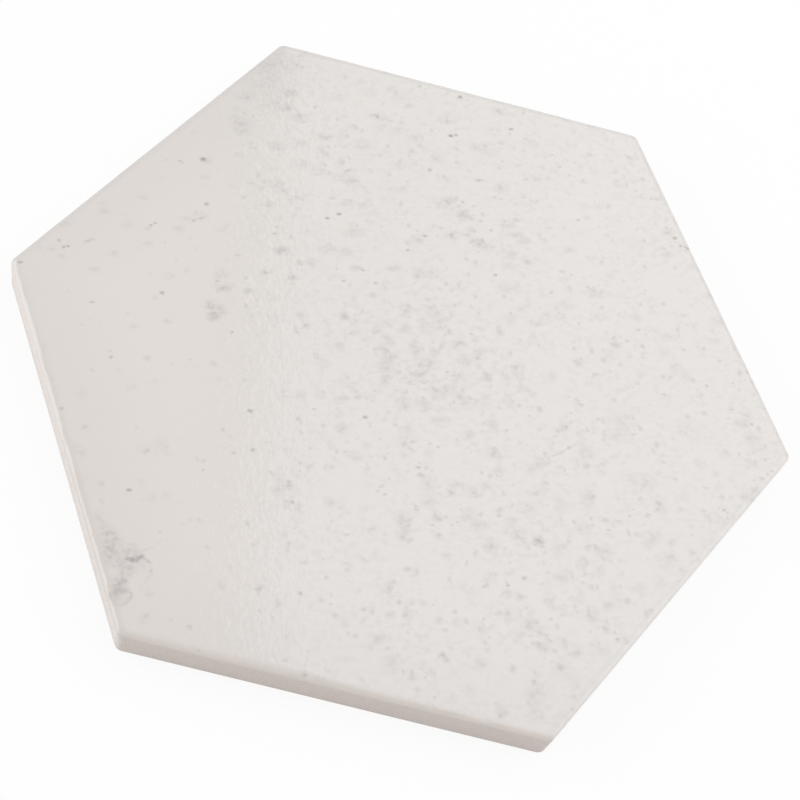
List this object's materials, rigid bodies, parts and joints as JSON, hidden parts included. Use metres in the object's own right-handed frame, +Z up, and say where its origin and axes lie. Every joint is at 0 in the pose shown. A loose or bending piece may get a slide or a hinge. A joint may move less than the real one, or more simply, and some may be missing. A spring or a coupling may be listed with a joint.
{
  "type": "hexagonal porcelain tile",
  "caption": "Hexagonal glazed porcelain tile with a cushioned edge, pale stone-effect face, bare sides and a keyed back, for floors and walls.",
  "frame": {"origin": "middle of the back, on the plane that the tile lies on", "axes": "+Z up out of the glazed face, +X through a corner, -Y out of the middle of one side"},
  "size_m": [0.1726, 0.15, 0.009],
  "materials": {
    "glazed_porcelain": "satin glaze, off-white with soft grey stone-effect mottling; bare pinkish-beige body on sides and back"
  },
  "bodies": {
    "root": {"hexagon_tile": "glazed_porcelain"}
  },
  "joints": []
}
